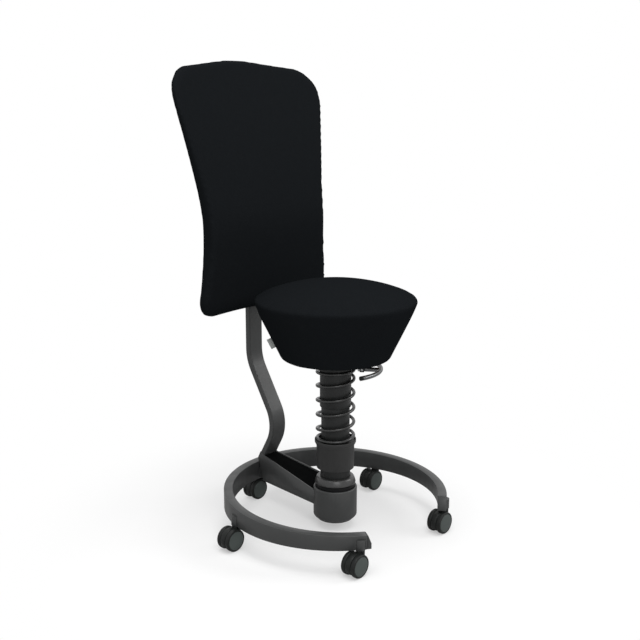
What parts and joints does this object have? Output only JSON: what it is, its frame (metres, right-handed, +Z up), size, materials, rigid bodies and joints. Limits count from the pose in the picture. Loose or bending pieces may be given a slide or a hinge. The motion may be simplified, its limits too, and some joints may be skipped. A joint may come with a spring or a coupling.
{
  "type": "wobble stool with backrest",
  "caption": "Round padded stool on a tilting, sprung gas-lift column over an open castor ring, with an hourglass backrest on a bent flat post.",
  "frame": {"origin": "on the floor under the column's axis", "axes": "+Z up along the column, the sitter faces -Y, +X is the sitter's left"},
  "size_m": [0.5348, 0.5522, 1.0479],
  "materials": {
    "frame_paint": "anthracite powder coat, satin",
    "spring_steel": "dark coated spring wire, satin",
    "black_plastic": "black moulded plastic, fine texture",
    "castor_plastic": "black nylon, moulded",
    "castor_tread": "dark grey castor wheel, moulded",
    "plain_steel": "zinc-plated steel",
    "blackened_steel": "black oxide steel, oiled",
    "lever_steel": "bent bright steel rod",
    "buffer_rubber": "black rubber",
    "pan_board": "raw plywood",
    "shell_plastic": "black moulded plastic",
    "seat_fabric": "near-black woven upholstery over foam",
    "back_fabric": "near-black woven upholstery over foam"
  },
  "bodies": {
    "base": {"base_ring": "frame_paint", "ring_end_caps": "black_plastic", "castor_sockets": "plain_steel", "base_arm": "frame_paint", "arm_cover": "black_plastic", "arm_root_block": "frame_paint", "lower_housing": "frame_paint", "housing_base_cap": "black_plastic", "bearing_cup": "blackened_steel", "tilt_buffer": "buffer_rubber", "back_post": "frame_paint", "back_shell": "shell_plastic", "back_pad": "back_fabric", "back_cover": "back_fabric", "back_screws": "plain_steel"},
    "gimbal": {"gimbal_ring": "blackened_steel", "gimbal_pins": "blackened_steel"},
    "column": {"column_spindle": "plain_steel", "tilt_dome": "black_plastic", "guide_tube": "frame_paint", "spring_washer": "plain_steel", "coil_spring": "spring_steel"},
    "collar": {"spring_collar": "black_plastic"},
    "sleeve": {"outer_sleeve": "frame_paint", "spring_plate": "frame_paint", "gas_casing": "plain_steel", "guide_bush": "black_plastic", "piston_rod": "plain_steel"},
    "lift": {"gas_cylinder": "plain_steel"},
    "release": {"release_pin": "plain_steel"},
    "seat": {"seat_dish": "frame_paint", "seat_screws": "plain_steel", "seat_pan": "pan_board", "seat_cushion": "seat_fabric", "lever_bracket": "frame_paint", "lever_pin": "plain_steel"},
    "lever": {"lever_rod": "lever_steel", "lever_tip": "black_plastic", "lever_crank": "plain_steel"},
    "castor_front_left": {"castor_hood_front_left": "castor_plastic", "castor_pins_front_left": "plain_steel"},
    "wheel_front_left_near": {"castor_wheel_front_left_near": "castor_tread"},
    "wheel_front_left_far": {"castor_wheel_front_left_far": "castor_tread"},
    "castor_side_left": {"castor_hood_side_left": "castor_plastic", "castor_pins_side_left": "plain_steel"},
    "wheel_side_left_near": {"castor_wheel_side_left_near": "castor_tread"},
    "wheel_side_left_far": {"castor_wheel_side_left_far": "castor_tread"},
    "castor_rear": {"castor_hood_rear": "castor_plastic", "castor_pins_rear": "plain_steel"},
    "wheel_rear_near": {"castor_wheel_rear_near": "castor_tread"},
    "wheel_rear_far": {"castor_wheel_rear_far": "castor_tread"},
    "castor_side_right": {"castor_hood_side_right": "castor_plastic", "castor_pins_side_right": "plain_steel"},
    "wheel_side_right_near": {"castor_wheel_side_right_near": "castor_tread"},
    "wheel_side_right_far": {"castor_wheel_side_right_far": "castor_tread"},
    "castor_front_right": {"castor_hood_front_right": "castor_plastic", "castor_pins_front_right": "plain_steel"},
    "wheel_front_right_near": {"castor_wheel_front_right_near": "castor_tread"},
    "wheel_front_right_far": {"castor_wheel_front_right_far": "castor_tread"}
  },
  "joints": [
    {"name": "tilt_fore_aft", "type": "hinge", "parent": "base", "child": "gimbal", "pos_m": [0, 0, 0.098], "axis": [1, 0, 0], "range_deg": [-3, 8], "stiffness_Nm_per_rad": 250},
    {"name": "tilt_side", "type": "hinge", "parent": "gimbal", "child": "column", "pos_m": [0, 0, 0.098], "axis": [0, 1, 0], "range_deg": [-8, 8], "stiffness_Nm_per_rad": 250},
    {"name": "collar_turn", "type": "hinge", "parent": "column", "child": "collar", "pos_m": [0, 0, 0.1414], "axis": [0, 0, 1], "range_deg": [-90, 90]},
    {"name": "bounce", "type": "slide", "parent": "column", "child": "sleeve", "axis": [0, 0, 1], "range_m": [-0.05, 0], "stiffness_N_per_m": 12000, "springref_m": 0.02, "deforming": ["coil_spring"]},
    {"name": "seat_height", "type": "slide", "parent": "sleeve", "child": "lift", "axis": [0, 0, 1], "range_m": [0, 0.12]},
    {"name": "seat_swivel", "type": "hinge", "parent": "lift", "child": "seat", "pos_m": [0, 0, 0.393], "axis": [0, 0, 1], "continuous": true},
    {"name": "lever_pull", "type": "hinge", "parent": "seat", "child": "lever", "pos_m": [0.03355, -0.04974, 0.3738], "axis": [-0.829, -0.5592, 0], "range_deg": [0, 5], "stiffness_Nm_per_rad": 4, "springref_deg": -5.73},
    {"name": "release_push", "type": "slide", "parent": "lift", "child": "release", "axis": [0, 0, 1], "range_m": [-0.0056, 0]},
    {"name": "swivel_front_left", "type": "hinge", "parent": "base", "child": "castor_front_left", "pos_m": [0.14695, -0.20225, 0.053], "axis": [0, 0, 1], "continuous": true},
    {"name": "roll_front_left_near", "type": "hinge", "parent": "castor_front_left", "child": "wheel_front_left_near", "pos_m": [0.12995, -0.20225, 0.025], "axis": [0, 1, 0], "continuous": true},
    {"name": "roll_front_left_far", "type": "hinge", "parent": "castor_front_left", "child": "wheel_front_left_far", "pos_m": [0.12995, -0.20225, 0.025], "axis": [0, 1, 0], "continuous": true},
    {"name": "swivel_side_left", "type": "hinge", "parent": "base", "child": "castor_side_left", "pos_m": [0.23776, 0.07725, 0.053], "axis": [0, 0, 1], "continuous": true},
    {"name": "roll_side_left_near", "type": "hinge", "parent": "castor_side_left", "child": "wheel_side_left_near", "pos_m": [0.22076, 0.07725, 0.025], "axis": [0, 1, 0], "continuous": true},
    {"name": "roll_side_left_far", "type": "hinge", "parent": "castor_side_left", "child": "wheel_side_left_far", "pos_m": [0.22076, 0.07725, 0.025], "axis": [0, 1, 0], "continuous": true},
    {"name": "swivel_rear", "type": "hinge", "parent": "base", "child": "castor_rear", "pos_m": [0, 0.25, 0.053], "axis": [0, 0, 1], "continuous": true},
    {"name": "roll_rear_near", "type": "hinge", "parent": "castor_rear", "child": "wheel_rear_near", "pos_m": [-0.017, 0.25, 0.025], "axis": [0, 1, 0], "continuous": true},
    {"name": "roll_rear_far", "type": "hinge", "parent": "castor_rear", "child": "wheel_rear_far", "pos_m": [-0.017, 0.25, 0.025], "axis": [0, 1, 0], "continuous": true},
    {"name": "swivel_side_right", "type": "hinge", "parent": "base", "child": "castor_side_right", "pos_m": [-0.23776, 0.07725, 0.053], "axis": [0, 0, 1], "continuous": true},
    {"name": "roll_side_right_near", "type": "hinge", "parent": "castor_side_right", "child": "wheel_side_right_near", "pos_m": [-0.25476, 0.07725, 0.025], "axis": [0, 1, 0], "continuous": true},
    {"name": "roll_side_right_far", "type": "hinge", "parent": "castor_side_right", "child": "wheel_side_right_far", "pos_m": [-0.25476, 0.07725, 0.025], "axis": [0, 1, 0], "continuous": true},
    {"name": "swivel_front_right", "type": "hinge", "parent": "base", "child": "castor_front_right", "pos_m": [-0.14695, -0.20225, 0.053], "axis": [0, 0, 1], "continuous": true},
    {"name": "roll_front_right_near", "type": "hinge", "parent": "castor_front_right", "child": "wheel_front_right_near", "pos_m": [-0.16395, -0.20225, 0.025], "axis": [0, 1, 0], "continuous": true},
    {"name": "roll_front_right_far", "type": "hinge", "parent": "castor_front_right", "child": "wheel_front_right_far", "pos_m": [-0.16395, -0.20225, 0.025], "axis": [0, 1, 0], "continuous": true}
  ],
  "couplings": [
    {"joint": "release_push", "follows": "lever_pull", "m_per_rad": -0.062}
  ]
}
